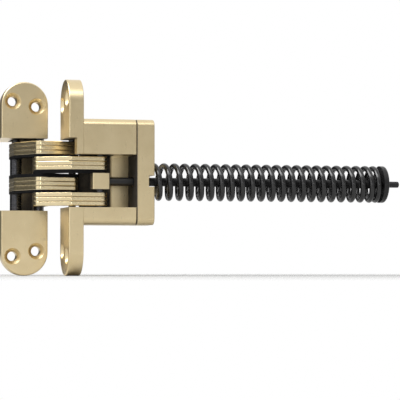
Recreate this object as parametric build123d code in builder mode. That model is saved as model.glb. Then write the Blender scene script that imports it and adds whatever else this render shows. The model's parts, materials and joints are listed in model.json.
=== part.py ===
"""Spring-closing invisible hinge: two mortised halves joined by crossed stacks of curved link plates."""

import os
from math import cos, radians, sin

from build123d import *

# The origin is the middle of the door half's front face. +X runs into the door along the spring rod,
# +Y runs to the far side of the door half, +Z is up along the pivots. The hinge stands open at a right
# angle, so the jamb half is the door half mirrored in the plane through the centre pin.

# Mounting flange of each half
FLANGE_LENGTH = 117.5
FLANGE_WIDTH = 28.6
FLANGE_THICKNESS = 9.0
FLANGE_EDGE = 0.8
FLANGE_REAR_EDGE = 0.4
SCREW_HOLE_RADIUS = 2.9
SCREW_SINK_RADIUS = 5.0
SCREW_OFFSET = 7.25
NEAR_SCREW_HEIGHT = 47.0
FAR_SCREW_HEIGHT = 43.9

# Cast body behind the flange
BODY_DEPTH = 41.4
BODY_WIDTH = 27.4
BODY_HEIGHT = 63.2
BODY_CORNER = 4.3
SEAM_EDGE = 0.5
BODY_RISE = 3.2
WEB_THICKNESS = 2.8
WEB_RELIEF = 1.3
WEB_DEPTH = 10.4
JAMB_POCKET_REACH = 22.0
REAR_WALL = 3.0
REAR_WALL_EDGE = -1.4

# Link stacks, with heights counted from the middle of the mechanism
MECHANISM_RISE = 2.6
PLATE_THICKNESS = 2.6
PLATE_GAP = 0.1
PLATES_PER_STACK = 3
OUTER_STACK = 15.5
INNER_STACK = 6.0
STACK_CLEARANCE = 1.1

# Linkage in plan view, with the hinge open at a right angle
PIVOT_DEPTH = 6.6
PIVOT_OFFSET = 10.1
SHORT_ARM = 19.1
SHORT_ARM_ANGLE = 5.7
LONG_ARM = 35.2
LONG_ARM_ANGLE = -16.9
CROSSING_SWING = 30.0
WAIST_WIDTH = 4.0
PIN_PATH_CLEARANCE = 0.45
SHORT_BOSS_RADIUS = 3.8
LONG_BOSS_RADIUS = 4.2
KNUCKLE_RADIUS = 5.0
NOTCH_CLEARANCE = 1.0
NOTCH_NEAR_DEPTH = 4.8
NOTCH_NEAR_BEND = -7.3
NOTCH_FAR_BEND = 8.0

# Pins
PIVOT_PIN_RADIUS = 2.2
CENTRE_PIN_RADIUS = 2.4
SLIDE_PIN_RADIUS = 2.4
PIN_SEAT_DEPTH = 7.0
SEAT_CLEARANCE = 0.03
RUNNING_CLEARANCE = 0.08
PIN_CHAMFER = 0.4
CENTRE_PIN_STAND = 0.3
SPACER_WALL = 1.2
SPACER_GAP = 0.3

# Grooves that guide the slide pins
GROOVE_FRONT = 18.9
GROOVE_REAR = 33.0
GROOVE_OFFSET = -0.87
GROOVE_PLAY = 1.9
GROOVE_DEPTH = 5.0
SLIDE_PIN_REACH = 4.5

# Spring block at the rear of the door half
BLOCK_DEPTH = 10.9
BLOCK_EDGE = 0.7
BLOCK_SCREW_RADIUS = 2.0
BLOCK_SCREW_HEAD_RADIUS = 3.5
BLOCK_SCREW_HEAD_HEIGHT = 4.0
BLOCK_SCREW_GRIP = 12.0
BLOCK_SCREW_OFFSET = 9.0
BLOCK_SCREW_SOCKET = 3.0
BLOCK_SCREW_SOCKET_DEPTH = 2.0
SLIT_HEIGHT = 6.7
SLIT_DEPTH = 3.6
ROD_PLAY = 0.3

# Spring rod with its trunnion and adjusting cap
ROD_RADIUS = 2.6
ROD_TIP_RADIUS = 1.9
ROD_TIP_LENGTH = 9.5
ROD_SEAT_DEPTH = 2.2
TRUNNION_WIDTH = 9.8
TRUNNION_NOSE = 5.2
TRUNNION_TAIL = 5.0
TRUNNION_HEIGHT = 9.6
TRUNNION_EDGE = 0.4
CAP_RADIUS = 11.4
CAP_THICKNESS = 3.4
CAP_EDGE = 1.2

# Closing spring
SPRING_LENGTH = 145.7
SPRING_OUTER_RADIUS = 11.5
WIRE_RADIUS = 1.75
SPRING_COILS = 23
SPRING_SEAT_GAP = 0.05

# Places in plan view
pivot = Vector(PIVOT_DEPTH, PIVOT_OFFSET, 0)
short_run = SHORT_ARM * Vector(cos(radians(SHORT_ARM_ANGLE)), sin(radians(SHORT_ARM_ANGLE)), 0)
long_run = LONG_ARM * Vector(cos(radians(LONG_ARM_ANGLE)), sin(radians(LONG_ARM_ANGLE)), 0)
centre = pivot - short_run
slide = centre + long_run
jamb_pivot = centre + Vector(short_run.Y, short_run.X, 0)
jamb_slide = centre + Vector(long_run.Y, long_run.X, 0)

# A link's long arm bends round the pivot pin beside it, and its waist is where that pin is at full opening
hook_angle = SHORT_ARM_ANGLE - CROSSING_SWING
hook_radius = PIVOT_PIN_RADIUS + PIN_PATH_CLEARANCE
hook_end = centre + SHORT_ARM * Vector(cos(radians(hook_angle)), sin(radians(hook_angle)), 0)
outward = Vector(sin(radians(LONG_ARM_ANGLE)), -cos(radians(LONG_ARM_ANGLE)), 0)
waist = hook_end + (hook_radius + WAIST_WIDTH / 2) * outward
opening_plane = Plane(origin=centre, x_dir=(1, 1, 0), z_dir=(1, -1, 0))

# Heights, counted from the middle of the mechanism
stack_height = PLATES_PER_STACK * PLATE_THICKNESS + (PLATES_PER_STACK - 1) * PLATE_GAP
outer_reach = OUTER_STACK + stack_height / 2
inner_reach = INNER_STACK + stack_height / 2
pocket_reach = outer_reach + STACK_CLEARANCE
shelf_reach = inner_reach + STACK_CLEARANCE
pin_reach = pocket_reach + PIN_SEAT_DEPTH
rod_drop = (OUTER_STACK - INNER_STACK) / 2

# Heights from the origin
body_top = BODY_RISE + BODY_HEIGHT / 2
body_base = BODY_RISE - BODY_HEIGHT / 2
rod_height = MECHANISM_RISE - rod_drop
upper_screw_height = (MECHANISM_RISE + shelf_reach + body_top) / 2
lower_screw_height = (MECHANISM_RISE - pocket_reach + body_base) / 2

# Depths behind the door half's front face
notch_depth = PIVOT_DEPTH + SHORT_BOSS_RADIUS + NOTCH_CLEARANCE
web_face = BODY_WIDTH / 2 - WEB_THICKNESS
block_rear = BODY_DEPTH + BLOCK_DEPTH
spring_front = block_rear + SPRING_SEAT_GAP
cap_front = spring_front + SPRING_LENGTH + SPRING_SEAT_GAP

# Places of the four block screws on the rear face
block_screw_places = [
    (offset, height)
    for offset in (-BLOCK_SCREW_OFFSET, BLOCK_SCREW_OFFSET)
    for height in (lower_screw_height, upper_screw_height)
]

os.makedirs("parts", exist_ok=True)


def save(builder, name):
    """Name a finished piece and write it."""
    builder.part.label = name
    export_step(builder.part, f"parts/{name}.step")


def make_casting(floor_reach, roof_reach):
    """Flange, arms and web of one half, with a pocket between two reaches from the middle of the mechanism."""
    floor = MECHANISM_RISE - floor_reach
    pocket_height = floor_reach + roof_reach

    with BuildPart() as casting:
        with BuildSketch(Plane.YZ):
            SlotOverall(FLANGE_LENGTH, FLANGE_WIDTH, rotation=90)
        extrude(amount=FLANGE_THICKNESS)
        fillet(casting.faces().sort_by(Axis.X)[0].edges(), FLANGE_EDGE)
        fillet(casting.faces().sort_by(Axis.X)[-1].edges(), FLANGE_REAR_EDGE)

        with BuildSketch(Plane.YZ.offset(FLANGE_THICKNESS)):
            with Locations((0, BODY_RISE)):
                RectangleRounded(BODY_WIDTH, BODY_HEIGHT, BODY_CORNER)
        extrude(amount=BODY_DEPTH - FLANGE_THICKNESS)
        chamfer(casting.faces().sort_by(Axis.X)[-1].edges(), SEAM_EDGE)

        # Pocket between the arms, open to the front, the near side and the rear
        relief_face = web_face + WEB_RELIEF
        web_front = BODY_DEPTH - WEB_DEPTH
        with BuildSketch(Plane.XY.offset(floor)):
            with BuildLine():
                Polyline(
                    (0, -FLANGE_WIDTH),
                    (BODY_DEPTH, -FLANGE_WIDTH),
                    (BODY_DEPTH, web_face),
                    (web_front, web_face),
                    (web_front, relief_face),
                    (notch_depth, relief_face),
                    (notch_depth, FLANGE_WIDTH),
                    (0, FLANGE_WIDTH),
                    close=True,
                )
            make_face()
        extrude(amount=pocket_height, mode=Mode.SUBTRACT)

        # Seats of the pivot pin
        with BuildSketch(Plane.XY.offset(MECHANISM_RISE - pin_reach)):
            with Locations((pivot.X, pivot.Y)):
                Circle(PIVOT_PIN_RADIUS + SEAT_CLEARANCE)
        extrude(amount=2 * pin_reach, mode=Mode.SUBTRACT)

        # Guide grooves of the slide pin in both arms
        with BuildSketch(Plane.XY.offset(floor - GROOVE_DEPTH)):
            with Locations(((GROOVE_FRONT + GROOVE_REAR) / 2, GROOVE_OFFSET)):
                SlotCenterToCenter(GROOVE_REAR - GROOVE_FRONT, 2 * (SLIDE_PIN_RADIUS + GROOVE_PLAY))
        extrude(amount=pocket_height + 2 * GROOVE_DEPTH, mode=Mode.SUBTRACT)

        # Staggered mounting screw holes, sunk from the front
        with Locations(Plane(origin=(0, 0, 0), x_dir=(0, -1, 0), z_dir=(-1, 0, 0))):
            with Locations(
                (SCREW_OFFSET, NEAR_SCREW_HEIGHT),
                (SCREW_OFFSET, -NEAR_SCREW_HEIGHT),
                (-SCREW_OFFSET, FAR_SCREW_HEIGHT),
                (-SCREW_OFFSET, -FAR_SCREW_HEIGHT),
            ):
                CounterSinkHole(SCREW_HOLE_RADIUS, SCREW_SINK_RADIUS, FLANGE_THICKNESS)
    return casting.part


def make_arm(*rounds):
    """Outline drawn tight round circles, each given as a place and a radius."""
    with BuildSketch() as arm:
        for place, radius in rounds:
            with Locations((place.X, place.Y)):
                Circle(radius)
        make_hull()
    return arm.sketch


def make_link_plate(height):
    """One plate of the stack whose long arm reaches into the door half, with its lower face at a height."""
    with BuildLine() as pin_path:
        CenterArc(centre, SHORT_ARM, hook_angle, 2 * CROSSING_SWING)
    with BuildPart() as plate:
        with BuildSketch():
            add(make_arm((centre, KNUCKLE_RADIUS), (waist, WAIST_WIDTH / 2)))
            add(make_arm((waist, WAIST_WIDTH / 2), (slide, LONG_BOSS_RADIUS)))
            SlotArc(pin_path.edge(), 2 * hook_radius, mode=Mode.SUBTRACT)
            add(make_arm((centre, KNUCKLE_RADIUS), (jamb_pivot, SHORT_BOSS_RADIUS)))
            with Locations((centre.X, centre.Y)):
                Circle(CENTRE_PIN_RADIUS + RUNNING_CLEARANCE, mode=Mode.SUBTRACT)
            with Locations((jamb_pivot.X, jamb_pivot.Y)):
                Circle(PIVOT_PIN_RADIUS + RUNNING_CLEARANCE, mode=Mode.SUBTRACT)
            with Locations((slide.X, slide.Y)):
                Circle(SLIDE_PIN_RADIUS + SEAT_CLEARANCE, mode=Mode.SUBTRACT)
        extrude(amount=PLATE_THICKNESS)
    return Pos(0, 0, height) * plate.part


def make_pin(place, radius, low, high):
    """Upright pin with chamfered ends, between two heights counted from the middle of the mechanism."""
    with BuildPart() as pin:
        with BuildSketch(Plane.XY.offset(MECHANISM_RISE + low)):
            with Locations((place.X, place.Y)):
                Circle(radius)
        extrude(amount=high - low)
        chamfer(pin.faces().filter_by(Axis.Z).edges(), PIN_CHAMFER)
    return pin


# Door half casting, notched in its upper arm for the outer stack and tapped for the block screws
with BuildPart() as door_casting:
    add(make_casting(pocket_reach, shelf_reach))
    with BuildSketch(Plane.XY.offset(MECHANISM_RISE + shelf_reach)):
        with BuildLine():
            Polyline(
                (0, -FLANGE_WIDTH),
                (NOTCH_NEAR_DEPTH, -FLANGE_WIDTH),
                (NOTCH_NEAR_DEPTH, NOTCH_NEAR_BEND),
                (notch_depth, NOTCH_FAR_BEND),
                (notch_depth, FLANGE_WIDTH),
                (0, FLANGE_WIDTH),
                close=True,
            )
        make_face()
    extrude(amount=pocket_reach - shelf_reach, mode=Mode.SUBTRACT)
    with BuildSketch(Plane.YZ.offset(BODY_DEPTH)):
        with Locations(block_screw_places):
            Circle(BLOCK_SCREW_RADIUS + SEAT_CLEARANCE)
    extrude(amount=-BLOCK_SCREW_GRIP, mode=Mode.SUBTRACT)
save(door_casting, "door_casting")

# Jamb half casting, with a rear wall beside its web, across the opening plane
with BuildPart() as jamb_form:
    add(make_casting(JAMB_POCKET_REACH, JAMB_POCKET_REACH))
    with BuildSketch(Plane.XY.offset(MECHANISM_RISE - JAMB_POCKET_REACH)):
        with Locations((BODY_DEPTH, web_face)):
            Rectangle(REAR_WALL, web_face - REAR_WALL_EDGE, align=(Align.MAX, Align.MAX))
    extrude(amount=2 * JAMB_POCKET_REACH)
with BuildPart() as jamb_casting:
    add(jamb_form.part.mirror(opening_plane))
save(jamb_casting, "jamb_casting")

# Link plates: those of link b reach into the door half, and those of link a are their mirror images
for stack, stack_middle in enumerate((INNER_STACK, -OUTER_STACK)):
    for layer in range(PLATES_PER_STACK):
        rise = layer * (PLATE_THICKNESS + PLATE_GAP) - stack_height / 2
        number = stack * PLATES_PER_STACK + layer + 1

        door_plate = make_link_plate(MECHANISM_RISE + stack_middle + rise)
        with BuildPart() as link_b_plate:
            add(door_plate)
        save(link_b_plate, f"link_b_plate_{number}")

        jamb_plate = make_link_plate(MECHANISM_RISE - stack_middle + rise).mirror(opening_plane)
        with BuildPart() as link_a_plate:
            add(jamb_plate)
        save(link_a_plate, f"link_a_plate_{number}")

# Pins of the five pivots
centre_top = outer_reach + CENTRE_PIN_STAND
door_slide_low = pocket_reach + SLIDE_PIN_REACH
door_slide_high = shelf_reach + SLIDE_PIN_REACH
jamb_slide_top = JAMB_POCKET_REACH + SLIDE_PIN_REACH
save(make_pin(pivot, PIVOT_PIN_RADIUS, -pin_reach, pin_reach), "door_pivot_pin")
save(make_pin(jamb_pivot, PIVOT_PIN_RADIUS, -pin_reach, pin_reach), "jamb_pivot_pin")
save(make_pin(centre, CENTRE_PIN_RADIUS, -centre_top, centre_top), "centre_pin")
save(make_pin(slide, SLIDE_PIN_RADIUS, -door_slide_low, door_slide_high), "door_slide_pin")
save(make_pin(jamb_slide, SLIDE_PIN_RADIUS, -jamb_slide_top, jamb_slide_top), "jamb_slide_pin")

# Spacer tubes that hold the jamb side's stacks at their heights on the slide pin
spacer_runs = {
    "slide_spacer": (stack_height / 2 - INNER_STACK, OUTER_STACK - stack_height / 2),
    "lower_spacer": (-JAMB_POCKET_REACH, -INNER_STACK - stack_height / 2),
}
for spacer_name, (low, high) in spacer_runs.items():
    with BuildPart() as spacer:
        with BuildSketch(Plane.XY.offset(MECHANISM_RISE + low + SPACER_GAP)):
            with Locations((jamb_slide.X, jamb_slide.Y)):
                Circle(SLIDE_PIN_RADIUS + SEAT_CLEARANCE + SPACER_WALL)
                Circle(SLIDE_PIN_RADIUS + SEAT_CLEARANCE, mode=Mode.SUBTRACT)
        extrude(amount=high - low - 2 * SPACER_GAP)
    save(spacer, spacer_name)

# Spring block: closes the rear of the door half and guides the rod
with BuildPart() as spring_block:
    with BuildSketch(Plane.YZ.offset(BODY_DEPTH)):
        with Locations((0, BODY_RISE)):
            RectangleRounded(BODY_WIDTH, BODY_HEIGHT, BODY_CORNER)
        with Locations((GROOVE_OFFSET, rod_height)):
            SlotCenterToCenter(2 * GROOVE_PLAY, 2 * (ROD_RADIUS + ROD_PLAY), mode=Mode.SUBTRACT)
    extrude(amount=BLOCK_DEPTH)
    chamfer(spring_block.faces().sort_by(Axis.X)[0].outer_wire().edges(), SEAM_EDGE)
    fillet(spring_block.faces().sort_by(Axis.X)[-1].outer_wire().edges(), BLOCK_EDGE)
    with BuildSketch(Plane.YZ.offset(block_rear)):
        with Locations((GROOVE_OFFSET, rod_height)):
            Rectangle(FLANGE_WIDTH, SLIT_HEIGHT, align=(Align.MAX, Align.CENTER))
    extrude(amount=-SLIT_DEPTH, mode=Mode.SUBTRACT)
    with Locations(Plane.YZ.offset(block_rear)):
        with Locations(block_screw_places):
            CounterBoreHole(
                BLOCK_SCREW_RADIUS + SEAT_CLEARANCE,
                BLOCK_SCREW_HEAD_RADIUS + SEAT_CLEARANCE,
                BLOCK_SCREW_HEAD_HEIGHT,
                BLOCK_DEPTH,
            )
save(spring_block, "spring_block")

# Socket screws that hold the block to the casting
with BuildPart() as block_screws:
    with BuildSketch(Plane.YZ.offset(block_rear - BLOCK_SCREW_HEAD_HEIGHT)):
        with Locations(block_screw_places):
            Circle(BLOCK_SCREW_HEAD_RADIUS)
    extrude(amount=BLOCK_SCREW_HEAD_HEIGHT)
    with BuildSketch(Plane.YZ.offset(block_rear - BLOCK_SCREW_HEAD_HEIGHT)):
        with Locations(block_screw_places):
            Circle(BLOCK_SCREW_RADIUS)
    extrude(amount=BLOCK_SCREW_HEAD_HEIGHT - BLOCK_DEPTH - BLOCK_SCREW_GRIP + SEAT_CLEARANCE)
    with BuildSketch(Plane.YZ.offset(block_rear)):
        with Locations(block_screw_places):
            RegularPolygon(BLOCK_SCREW_SOCKET / 2, 6, major_radius=False)
    extrude(amount=-BLOCK_SCREW_SOCKET_DEPTH, mode=Mode.SUBTRACT)
save(block_screws, "block_screws")

# Trunnion that the door slide pin turns in, with a seat for the rod
with BuildPart() as rod_trunnion:
    with BuildSketch(Plane.XY.offset(rod_height - TRUNNION_HEIGHT / 2)):
        with Locations((slide.X, slide.Y)):
            Rectangle(TRUNNION_NOSE, TRUNNION_WIDTH, align=(Align.MAX, Align.CENTER))
            Rectangle(TRUNNION_TAIL, TRUNNION_WIDTH, align=(Align.MIN, Align.CENTER))
    extrude(amount=TRUNNION_HEIGHT)
    chamfer(rod_trunnion.edges().filter_by(Axis.Z), TRUNNION_EDGE)
    with BuildSketch(Plane.XY.offset(rod_height - TRUNNION_HEIGHT / 2)):
        with Locations((slide.X, slide.Y)):
            Circle(SLIDE_PIN_RADIUS + RUNNING_CLEARANCE)
    extrude(amount=TRUNNION_HEIGHT, mode=Mode.SUBTRACT)
    with BuildSketch(Plane.YZ.offset(slide.X + TRUNNION_TAIL)):
        with Locations((slide.Y, rod_height)):
            Circle(ROD_RADIUS + SEAT_CLEARANCE)
    extrude(amount=-ROD_SEAT_DEPTH, mode=Mode.SUBTRACT)
save(rod_trunnion, "rod_trunnion")

# Spring rod with a slimmer tip that the cap is adjusted on
rod_front = slide.X + TRUNNION_TAIL - ROD_SEAT_DEPTH
with BuildPart() as spring_rod:
    with BuildSketch(Plane.YZ.offset(rod_front)):
        with Locations((slide.Y, rod_height)):
            Circle(ROD_RADIUS)
    extrude(amount=cap_front - rod_front)
    with BuildSketch(Plane.YZ.offset(cap_front)):
        with Locations((slide.Y, rod_height)):
            Circle(ROD_TIP_RADIUS)
    extrude(amount=CAP_THICKNESS + ROD_TIP_LENGTH)
    chamfer(spring_rod.faces().sort_by(Axis.X)[-1].edges(), PIN_CHAMFER)
save(spring_rod, "spring_rod")

# Adjusting cap that the far end of the spring bears on
with BuildPart() as adjusting_cap:
    with BuildSketch(Plane.YZ.offset(cap_front)):
        with Locations((slide.Y, rod_height)):
            Circle(CAP_RADIUS)
    extrude(amount=CAP_THICKNESS)
    fillet(adjusting_cap.faces().sort_by(Axis.X)[-1].edges(), CAP_EDGE)
    with BuildSketch(Plane.YZ.offset(cap_front)):
        with Locations((slide.Y, rod_height)):
            Circle(ROD_TIP_RADIUS + SEAT_CLEARANCE)
    extrude(amount=CAP_THICKNESS, mode=Mode.SUBTRACT)
save(adjusting_cap, "adjusting_cap")

# Closing spring, wound from round wire
coil_run = SPRING_LENGTH - 2 * WIRE_RADIUS
coil_start = (spring_front + WIRE_RADIUS, slide.Y, rod_height)
with BuildPart() as spring:
    with BuildLine() as coil:
        Helix(coil_run / SPRING_COILS, coil_run, SPRING_OUTER_RADIUS - WIRE_RADIUS, coil_start, (1, 0, 0))
    with BuildSketch(Plane(origin=coil.edge() @ 0, z_dir=coil.edge() % 0)):
        Circle(WIRE_RADIUS)
    sweep(path=coil.edge(), is_frenet=True)
save(spring, "spring")
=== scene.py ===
import json
import math

import bmesh
import bpy
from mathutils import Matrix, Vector


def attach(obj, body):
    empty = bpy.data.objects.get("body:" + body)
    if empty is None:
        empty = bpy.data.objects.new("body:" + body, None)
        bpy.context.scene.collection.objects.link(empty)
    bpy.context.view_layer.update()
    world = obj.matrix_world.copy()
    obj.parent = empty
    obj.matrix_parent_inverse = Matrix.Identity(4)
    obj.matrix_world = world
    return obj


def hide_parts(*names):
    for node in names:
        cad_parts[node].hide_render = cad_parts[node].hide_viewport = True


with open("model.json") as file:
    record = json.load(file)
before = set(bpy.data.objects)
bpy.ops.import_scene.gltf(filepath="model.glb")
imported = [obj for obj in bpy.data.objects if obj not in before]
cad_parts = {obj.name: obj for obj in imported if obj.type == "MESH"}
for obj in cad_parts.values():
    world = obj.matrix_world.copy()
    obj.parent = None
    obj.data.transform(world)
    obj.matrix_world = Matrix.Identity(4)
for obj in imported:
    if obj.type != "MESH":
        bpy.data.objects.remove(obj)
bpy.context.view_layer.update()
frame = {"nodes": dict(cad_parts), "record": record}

nodes = frame["nodes"]

# All lengths are in metres, in the part's own frame.

# Camera, fitted to the photographed view
CAMERA_AZIMUTH = math.radians(14.53)
CAMERA_DROP = math.radians(2.0)
CAMERA_DISTANCE = 1.2
CAMERA_TARGET = Vector((0.08376, 0.0, -0.01272))
CAMERA_LENS = 177.4
SENSOR_WIDTH = 36.0

# Floor, which fades out between two distances from its centre
FLOOR_CENTRE = Vector((0.08, 0.0, -0.0588))
FLOOR_RADIUS = 2.2
FLOOR_CORNERS = 64
FLOOR_FADE = (0.15, 0.5)
FLOOR_COLOUR = (0.46, 0.46, 0.455, 1)
FLOOR_ROUGHNESS = 0.9

# Studio: brightness by the share of the way round to its dark side, and the light part overhead
STUDIO_DARK_SIDE = (-0.669, 0.743, 0.0)
STUDIO_LEVELS = [(0.0, 0.42), (0.2, 0.42), (0.6, 1.0), (0.82, 1.0), (0.87, 0.12), (1.0, 0.06)]
STUDIO_TOP = (0.35, 0.7)
STUDIO_TOP_COLOUR = (0.94, 0.94, 0.94, 1)

# Lamps, by their place, the point they are aimed at, width, height and power in watts
LAMPS = [
    ("key", (-0.1, -0.55, 0.75), (0.05, 0.0, 0.0), 0.7, 0.3, 1.5),
    ("top_left", (-0.5, -0.12, 0.74), (0.05, 0.0, 0.0), 0.8, 0.65, 9.0),
    ("low_front", (0.22, -0.8, -0.03), (0.02, 0.0, -0.03), 0.8, 0.05, 0.16),
    ("left_strip", (-0.4, -0.85, 0.1), (0.03, 0.0, 0.0), 0.06, 0.5, 0.5),
]

# Noise patterns, by their scale, detail and roughness, and the part of a noise's range that is used
BRASS_CLOUDS = (70.0, 5.0, 0.55)
BRASS_LINES = (420.0, 4.0, 0.6)
BRASS_SPECKS = (1500.0, 3.0, 0.55)
STEEL_RINGS = (300.0, 3.0, 0.55)
BLACK_GRAIN = (1400.0, 4.0, 0.55)
BLACK_RUBS = (160.0, 6.0, 0.7)
NOISE_SPAN = (0.3, 0.7)
RUB_SPAN = (0.55, 0.8)

# Stretch of the noise patterns on each axis
NO_STRETCH = (1.0, 1.0, 1.0)
CAST_BRUSH = (5.0, 5.0, 0.3)
LINK_BRUSH = (1.5, 1.5, 3.0)
STEEL_TURNING = (0.3, 0.3, 9.0)

# Brass: pale and deep colours and the dark colour of the painted shade in hollows, roughness range,
# strength of the relief
CAST_TONES_AND_SHADE = ((0.83, 0.69, 0.43, 1), (0.76, 0.62, 0.37, 1), (0.02, 0.016, 0.012, 1))
CAST_POLISH = (0.27, 0.34)
CAST_RELIEF = 0.05
LINK_TONES_AND_SHADE = ((0.85, 0.72, 0.46, 1), (0.78, 0.65, 0.4, 1), (0.02, 0.016, 0.012, 1))
LINK_POLISH = (0.2, 0.27)
LINK_RELIEF = 0.02
BRASS_RELIEF_DEPTH = 0.00005

# Painted shade: its roughness, and the lit share above which none of that is left
PAINTED_SHADE_ROUGHNESS = 0.75
PAINTED_SHADE_END = 0.6

# Where the brass is lit and has no painted shade: hollows by their depth and range, and stretches of the
# height or of the length
CAST_HOLLOW = (0.03, 0.3, 0.6)
LINK_HOLLOW = (0.0012, 0.3, 0.8)
LIT_HEIGHT = (0.034, 0.038)
WEB_START = (0.0302, 0.031)
# Painted shade on the spring block's face in the pocket, which ends over this stretch of its length
BLOCK_INNER_FACE = (0.0416, 0.0422)

# Steels: colour, dark colour and roughness range
# Painted shade: the pin steel is made dark to stand in for the shade of the pockets the pins sit in
SHADED_PIN_STEEL = ((0.09, 0.09, 0.095, 1), (0.05, 0.05, 0.055, 1), (0.2, 0.32))
SCREW_STEEL = ((0.12, 0.12, 0.125, 1), (0.07, 0.07, 0.075, 1), (0.3, 0.45))
STEEL_RELIEF = 0.1
STEEL_RELIEF_DEPTH = 0.0001

# Black steels: colour, worn colour, roughness range, gloss and strength of the relief
SPRING_BLACK = ((0.004, 0.004, 0.0045, 1), (0.008, 0.008, 0.0085, 1), (0.1, 0.16), 0.75, 0.02)
ROD_BLACK = ((0.007, 0.007, 0.0075, 1), (0.016, 0.016, 0.016, 1), (0.26, 0.4), 0.5, 0.08)
# Painted shade: the black of the plates that stand in for the shade between the stacks
SHADE_PLATE_BLACK = ((0.007, 0.007, 0.0075, 1), (0.016, 0.016, 0.016, 1), (0.5, 0.65), 0.05, 0.08)
BLACK_RELIEF_DEPTH = 0.0001

# Edge rounding of the link plates
PLATE_BEVEL = 0.00045
PLATE_BEVEL_STEPS = 3
PLATE_EDGE_ANGLE = math.radians(50)
WELD_DISTANCE = 1e-6

# Lip on the far wall's edge: a bar that closes a slit there and reads dark from the casting's painted
# shade
LIP_CORNERS = (Vector((0.0106, 0.0124, -0.0088)), Vector((0.0124, 0.0135, 0.0046)))
LIP_EDGE = 0.0003
LIP_EDGE_STEPS = 3

# Dark plates between the stacks, put where there is only shade, by the plate whose outline they share,
# their heights and their body
SHADE_PLATES = [
    ("stack_shade_plate_upper", "link_a_plate_4", 0.0127, 0.0141, "link_a"),
    ("stack_shade_plate_inner", "link_b_plate_1", 0.0027, 0.0045, "link_b"),
    ("stack_shade_plate_middle", "link_a_plate_3", 0.0006, 0.00255, "link_a"),
    ("stack_shade_plate_lower", "link_a_plate_1", -0.0088, -0.0074, "link_a"),
]

# Closing spring, in a run on the door half and a short run on the rod that lap each other
SPRING_FRONT = 0.05235
SPRING_REAR = 0.19805
SPRING_AXIS = Vector((0.0, -0.00203, -0.00215))
COIL_RADIUS = 0.00975
WIRE_RADIUS = 0.00175
LAP_WIRE_RADIUS = 0.00171
SPRING_COILS = 22.65
DEAD_COILS = 1
DEAD_COIL_PITCH = 0.0037
LAP_COILS = 2
LAP_START = SPRING_COILS - DEAD_COILS - LAP_COILS
LAP_END = SPRING_COILS - DEAD_COILS
ROD_TRAVEL = 0.01175
COIL_STEPS = 44
WIRE_SIDES = 16


# Helpers for node materials

def new_material(name):
    """An empty node material, its node tree and its shader."""
    material = bpy.data.materials.new(name)
    material.use_nodes = True
    tree = material.node_tree
    shader = tree.nodes["Principled BSDF"]
    return material, tree, shader


def add_node(tree, kind, inputs=None, **settings):
    """A node with some of its sockets and settings filled in."""
    node = tree.nodes.new(kind)
    for name, value in settings.items():
        setattr(node, name, value)
    for name, value in (inputs or {}).items():
        node.inputs[name].default_value = value
    return node


def stretched_place(tree, scale):
    """The object's own coordinates, stretched on each axis."""
    place = add_node(tree, "ShaderNodeTexCoord")
    mapping = add_node(tree, "ShaderNodeMapping", {"Scale": scale})
    tree.links.new(place.outputs["Object"], mapping.inputs["Vector"])
    return mapping.outputs["Vector"]


def place_axis(tree, axis):
    """One of the object's own coordinates."""
    place = add_node(tree, "ShaderNodeTexCoord")
    split = add_node(tree, "ShaderNodeSeparateXYZ")
    tree.links.new(place.outputs["Object"], split.inputs["Vector"])
    return split.outputs[axis]


def noise(tree, stretch, scale, detail, roughness):
    """A noise pattern's value."""
    node = add_node(
        tree, "ShaderNodeTexNoise", {"Scale": scale, "Detail": detail, "Roughness": roughness}
    )
    tree.links.new(stretched_place(tree, stretch), node.inputs["Vector"])
    return node.outputs["Fac"]


def ramp(tree, value, stops):
    """A colour ramp through (place, colour) stops."""
    node = tree.nodes.new("ShaderNodeValToRGB")
    elements = node.color_ramp.elements
    while len(elements) < len(stops):
        elements.new(0.5)
    for element, (place, colour) in zip(elements, stops):
        element.position = place
        element.color = colour
    tree.links.new(value, node.inputs["Fac"])
    return node.outputs["Color"]


def two_tones(tree, value, span, first, second):
    """A colour that goes from one tone to another over a span of a value."""
    start, end = span
    return ramp(tree, value, [(start, first), (end, second)])


def spread(tree, value, low, high, start, end):
    """A value carried from the range start to end onto the range low to high."""
    node = add_node(
        tree,
        "ShaderNodeMapRange",
        {"From Min": start, "From Max": end, "To Min": low, "To Max": high},
    )
    tree.links.new(value, node.inputs["Value"])
    return node.outputs["Result"]


def combine(tree, operation, first, second):
    """Two values combined by a sum or by taking the larger one."""
    node = add_node(tree, "ShaderNodeMath", operation=operation)
    tree.links.new(first, node.inputs[0])
    tree.links.new(second, node.inputs[1])
    return node.outputs["Value"]


def mix_colour(tree, factor, first, second):
    """Two colours mixed by a factor."""
    node = add_node(tree, "ShaderNodeMix", data_type="RGBA")
    tree.links.new(factor, node.inputs["Factor"])
    for socket, colour in ((node.inputs[6], first), (node.inputs[7], second)):
        if isinstance(colour, tuple):
            socket.default_value = colour
        else:
            tree.links.new(colour, socket)
    return node.outputs[2]


def bump(tree, shader, height, strength, depth):
    """Fine relief on a shader's normal."""
    node = add_node(tree, "ShaderNodeBump", {"Strength": strength, "Distance": depth})
    tree.links.new(height, node.inputs["Height"])
    tree.links.new(node.outputs["Normal"], shader.inputs["Normal"])


def hollow_shade(tree, distance, low, high):
    """1 in the open and 0 deep in a hollow, from the shapes alone."""
    node = add_node(tree, "ShaderNodeAmbientOcclusion", {"Distance": distance})
    return spread(tree, node.outputs["AO"], 0.0, 1.0, low, high)


# Materials

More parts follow.
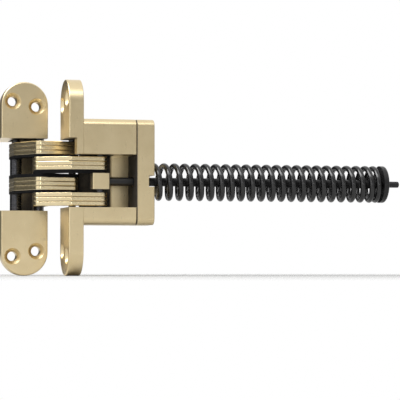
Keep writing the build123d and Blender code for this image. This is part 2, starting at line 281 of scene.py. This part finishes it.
def casting_lit_share(tree):
    """A casting is lit outside, on its ears and round its rear web, and gets painted shade inside."""
    height = add_node(tree, "ShaderNodeMath", operation="ABSOLUTE")
    tree.links.new(place_axis(tree, "Z"), height.inputs[0])
    ears = spread(tree, height.outputs["Value"], 0.0, 1.0, *LIT_HEIGHT)
    web = spread(tree, place_axis(tree, "X"), 0.0, 1.0, *WEB_START)
    outside = combine(tree, "MAXIMUM", ears, hollow_shade(tree, *CAST_HOLLOW))
    return combine(tree, "MAXIMUM", outside, web)


def block_lit_share(tree):
    """The spring block is lit but for the face in the pocket and the seam, which get painted shade."""
    return spread(tree, place_axis(tree, "X"), 0.0, 1.0, *BLOCK_INNER_FACE)


def link_lit_share(tree):
    """The link plates get painted shade between each other."""
    return hollow_shade(tree, *LINK_HOLLOW)


def brass_material(name, tones_and_shade, polish, brush, relief, lit_share_of):
    """Satin plated brass with brush marks and a cloudy tone, and matt painted shade where it isn't lit.
    """
    material, tree, shader = new_material(name)
    pale, deep, painted_shade_colour = tones_and_shade
    lit_share = lit_share_of(tree)
    clouds = noise(tree, NO_STRETCH, *BRASS_CLOUDS)
    lines = noise(tree, brush, *BRASS_LINES)
    specks = noise(tree, NO_STRETCH, *BRASS_SPECKS)
    tone = two_tones(tree, clouds, NOISE_SPAN, deep, pale)
    # Painted shade: where the lit share is low the base colour turns to the dark shade colour, metallic
    # falls and roughness rises
    tree.links.new(mix_colour(tree, lit_share, painted_shade_colour, tone), shader.inputs["Base Color"])
    tree.links.new(lit_share, shader.inputs["Metallic"])
    matt = spread(tree, lit_share, PAINTED_SHADE_ROUGHNESS, 0.0, 0.0, PAINTED_SHADE_END)
    roughness = combine(tree, "MAXIMUM", spread(tree, lines, *polish, *NOISE_SPAN), matt)
    tree.links.new(roughness, shader.inputs["Roughness"])
    bump(tree, shader, combine(tree, "ADD", lines, specks), relief, BRASS_RELIEF_DEPTH)
    return material


def steel_material(name, colour, dark, polish):
    """Ground steel with faint rings of turning marks."""
    material, tree, shader = new_material(name)
    rings = noise(tree, STEEL_TURNING, *STEEL_RINGS)
    tree.links.new(two_tones(tree, rings, NOISE_SPAN, dark, colour), shader.inputs["Base Color"])
    shader.inputs["Metallic"].default_value = 1.0
    tree.links.new(spread(tree, rings, *polish, *NOISE_SPAN), shader.inputs["Roughness"])
    bump(tree, shader, rings, STEEL_RELIEF, STEEL_RELIEF_DEPTH)
    return material


def black_material(name, colour, worn, polish, gloss, relief):
    """Black coated steel with a fine grain and a few rubbed spots."""
    material, tree, shader = new_material(name)
    grain = noise(tree, NO_STRETCH, *BLACK_GRAIN)
    rubs = noise(tree, NO_STRETCH, *BLACK_RUBS)
    tree.links.new(two_tones(tree, rubs, RUB_SPAN, colour, worn), shader.inputs["Base Color"])
    tree.links.new(spread(tree, rubs, *polish, *NOISE_SPAN), shader.inputs["Roughness"])
    shader.inputs["Specular IOR Level"].default_value = gloss
    bump(tree, shader, grain, relief, BLACK_RELIEF_DEPTH)
    return material


cast_brass = brass_material("cast_brass", CAST_TONES_AND_SHADE, CAST_POLISH, CAST_BRUSH, CAST_RELIEF, casting_lit_share)
block_brass = brass_material("block_brass", CAST_TONES_AND_SHADE, CAST_POLISH, CAST_BRUSH, CAST_RELIEF, block_lit_share)
link_brass = brass_material("link_brass", LINK_TONES_AND_SHADE, LINK_POLISH, LINK_BRUSH, LINK_RELIEF, link_lit_share)
pin_steel = steel_material("pin_steel", *SHADED_PIN_STEEL)
screw_steel = steel_material("screw_steel", *SCREW_STEEL)
spring_black = black_material("spring_black", *SPRING_BLACK)
rod_black = black_material("rod_black", *ROD_BLACK)
shade_plate_black = black_material("shade_plate_black", *SHADE_PLATE_BLACK)

SLOT_MATERIALS = {
    "cast_brass": cast_brass,
    "link_brass": link_brass,
    "pin_steel": pin_steel,
    "screw_steel": screw_steel,
    "rod_black": rod_black,
    "spring_black": spring_black,
}


def dress_node(name, material):
    """Give a CAD node a material."""
    mesh = nodes[name].data
    mesh.materials.clear()
    mesh.materials.append(material)


for row in frame["record"]["subparts"]:
    dress_node(row["node"], SLOT_MATERIALS[row["material_slot"]])
dress_node("spring_block", block_brass)


# Pieces

def round_edges(name):
    """Round a stamped plate's sharp edges with modifiers."""
    node = nodes[name]
    weld = node.modifiers.new("weld", "WELD")
    weld.merge_threshold = WELD_DISTANCE
    bevel = node.modifiers.new("round", "BEVEL")
    bevel.width = PLATE_BEVEL
    bevel.segments = PLATE_BEVEL_STEPS
    bevel.limit_method = "ANGLE"
    bevel.angle_limit = PLATE_EDGE_ANGLE
    bevel.use_clamp_overlap = False


def add_piece(name, mesh, material):
    """A new object in the scene with a mesh of one material."""
    mesh.materials.clear()
    mesh.materials.append(material)
    piece = bpy.data.objects.new(name, mesh)
    bpy.context.scene.collection.objects.link(piece)
    return piece


def make_shade_lip():
    """A rounded upright bar on the edge of the door half's far wall, behind the pivot pin, that closes a
    slit and is dark from the casting's painted shade.
    """
    low, high = LIP_CORNERS
    middle = (low + high) / 2
    size = high - low
    shape = bmesh.new()
    bmesh.ops.create_cube(shape, size=1.0)
    bmesh.ops.scale(shape, vec=size, verts=shape.verts)
    bmesh.ops.translate(shape, vec=middle, verts=shape.verts)
    bmesh.ops.bevel(
        shape, geom=shape.edges, offset=LIP_EDGE, segments=LIP_EDGE_STEPS, affect="EDGES", profile=0.5
    )
    mesh = bpy.data.meshes.new("shade_lip")
    shape.to_mesh(mesh)
    shape.free()
    lip = add_piece("shade_lip", mesh, cast_brass)
    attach(lip, "door_half")


def make_shade_plate(name, outline, low, high, body):
    """A dark plate with the outline of a link plate, between two heights, standing in for the shade
    between the stacks.
    """
    mesh = nodes[outline].data.copy()
    mesh.name = name
    heights = [vertex.co.z for vertex in mesh.vertices]
    middle = (min(heights) + max(heights)) / 2
    for vertex in mesh.vertices:
        vertex.co.z = low if vertex.co.z < middle else high
    shade_plate = add_piece(name, mesh, shade_plate_black)
    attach(shade_plate, body)


def coil_lean(turn):
    """How far along its axis the wire has gone after some turns, with a dead coil at the rear end."""
    lap_and_dead = ROD_TRAVEL + DEAD_COIL_PITCH
    live_pitch = (SPRING_REAR - SPRING_FRONT - 2 * WIRE_RADIUS - lap_and_dead) / LAP_START
    live = min(turn, LAP_START) * live_pitch
    lap = min(max(turn - LAP_START, 0.0), LAP_COILS) * ROD_TRAVEL / LAP_COILS
    dead = max(turn - LAP_END, 0.0) * DEAD_COIL_PITCH
    return SPRING_FRONT + WIRE_RADIUS + live + lap + dead


def coil_point(turn, side, radius):
    """A point on the wire's skin, after some turns and at a share of the way round the wire."""
    angle = math.tau * turn
    out = Vector((0, -math.sin(angle), math.cos(angle)))
    along = Vector((1, 0, 0))
    round_wire = math.tau * side
    centre = SPRING_AXIS + out * COIL_RADIUS + along * coil_lean(turn)
    return centre + radius * (math.cos(round_wire) * out + math.sin(round_wire) * along)


def make_spring(name, first_turn, last_turn, radius, body):
    """A run of coils as one closed tube that rides on a body."""
    steps = round((last_turn - first_turn) * COIL_STEPS)
    points = []
    for step in range(steps + 1):
        turn = first_turn + (last_turn - first_turn) * step / steps
        points += [coil_point(turn, side / WIRE_SIDES, radius) for side in range(WIRE_SIDES)]
    faces = []
    for step in range(steps):
        for side in range(WIRE_SIDES):
            a = step * WIRE_SIDES + side
            b = step * WIRE_SIDES + (side + 1) % WIRE_SIDES
            faces.append((a, b, b + WIRE_SIDES, a + WIRE_SIDES))
    faces.append(tuple(reversed(range(WIRE_SIDES))))
    faces.append(tuple(range(steps * WIRE_SIDES, (steps + 1) * WIRE_SIDES)))
    mesh = bpy.data.meshes.new(name)
    mesh.from_pydata(points, [], faces)
    mesh.polygons.foreach_set("use_smooth", [True] * len(faces))
    coil = add_piece(name, mesh, spring_black)
    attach(coil, body)
    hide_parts("spring")


for name in nodes:
    if name.startswith("link_"):
        round_edges(name)
make_shade_lip()
for shade_plate_row in SHADE_PLATES:
    make_shade_plate(*shade_plate_row)
make_spring("spring_coils", 0.0, LAP_END, WIRE_RADIUS, "door_half")
make_spring("spring_end_coils", LAP_START, SPRING_COILS, LAP_WIRE_RADIUS, "rod")


# Floor, world, lamps and camera

def make_floor():
    """A round pale floor under the hinge that fades out into the studio."""
    corners = []
    for corner in range(FLOOR_CORNERS):
        angle = math.tau * corner / FLOOR_CORNERS
        corners.append((FLOOR_RADIUS * math.cos(angle), FLOOR_RADIUS * math.sin(angle), 0.0))
    mesh = bpy.data.meshes.new("floor")
    mesh.from_pydata(corners, [], [tuple(range(FLOOR_CORNERS))])
    material, tree, shader = new_material("floor")
    shader.inputs["Base Color"].default_value = FLOOR_COLOUR
    shader.inputs["Roughness"].default_value = FLOOR_ROUGHNESS
    place = add_node(tree, "ShaderNodeTexCoord")
    reach = add_node(tree, "ShaderNodeVectorMath", operation="LENGTH")
    tree.links.new(place.outputs["Object"], reach.inputs[0])
    fade = spread(tree, reach.outputs["Value"], 1.0, 0.0, *FLOOR_FADE)
    tree.links.new(fade, shader.inputs["Alpha"])
    floor = add_piece("floor", mesh, material)
    floor.location = FLOOR_CENTRE


def make_world():
    """A pale studio that is light overhead, and dark on one side."""
    world = bpy.data.worlds.new("studio")
    bpy.context.scene.world = world
    world.use_nodes = True
    tree = world.node_tree
    tree.nodes.clear()
    place = add_node(tree, "ShaderNodeTexCoord")
    turned = add_node(tree, "ShaderNodeVectorMath", operation="DOT_PRODUCT")
    turned.inputs[1].default_value = STUDIO_DARK_SIDE
    tree.links.new(place.outputs["Generated"], turned.inputs[0])
    side = spread(tree, turned.outputs["Value"], 0.0, 1.0, -1.0, 1.0)
    level = ramp(tree, side, [(share, (tone, tone, tone, 1)) for share, tone in STUDIO_LEVELS])
    split = add_node(tree, "ShaderNodeSeparateXYZ")
    tree.links.new(place.outputs["Generated"], split.inputs["Vector"])
    overhead = spread(tree, split.outputs["Z"], 0.0, 1.0, *STUDIO_TOP)
    sky = mix_colour(tree, overhead, level, STUDIO_TOP_COLOUR)
    background = add_node(tree, "ShaderNodeBackground", {"Strength": 1.0})
    tree.links.new(sky, background.inputs["Color"])
    output = add_node(tree, "ShaderNodeOutputWorld")
    tree.links.new(background.outputs["Background"], output.inputs["Surface"])


def aim(forward):
    """The turn that points a lamp or the camera along a direction."""
    return forward.to_track_quat("-Z", "Y").to_euler()


def add_lamp(name, place, target, width, height, power):
    """A soft rectangular lamp aimed at a point."""
    lamp = bpy.data.lights.new(name, "AREA")
    lamp.shape = "RECTANGLE"
    lamp.size = width
    lamp.size_y = height
    lamp.energy = power
    holder = bpy.data.objects.new(name, lamp)
    holder.location = place
    holder.rotation_euler = aim(Vector(target) - Vector(place))
    bpy.context.scene.collection.objects.link(holder)


def make_camera():
    """The camera at the photograph's viewing angle."""
    level = math.cos(CAMERA_DROP)
    forward = Vector(
        (math.sin(CAMERA_AZIMUTH) * level, math.cos(CAMERA_AZIMUTH) * level, math.sin(CAMERA_DROP))
    )
    data = bpy.data.cameras.new("camera")
    data.lens = CAMERA_LENS
    data.sensor_width = SENSOR_WIDTH
    camera = bpy.data.objects.new("camera", data)
    camera.location = CAMERA_TARGET - CAMERA_DISTANCE * forward
    camera.rotation_euler = aim(forward)
    bpy.context.scene.collection.objects.link(camera)
    bpy.context.scene.camera = camera


make_floor()
make_world()
for lamp_row in LAMPS:
    add_lamp(*lamp_row)
make_camera()
bpy.context.scene.view_settings.view_transform = "Standard"
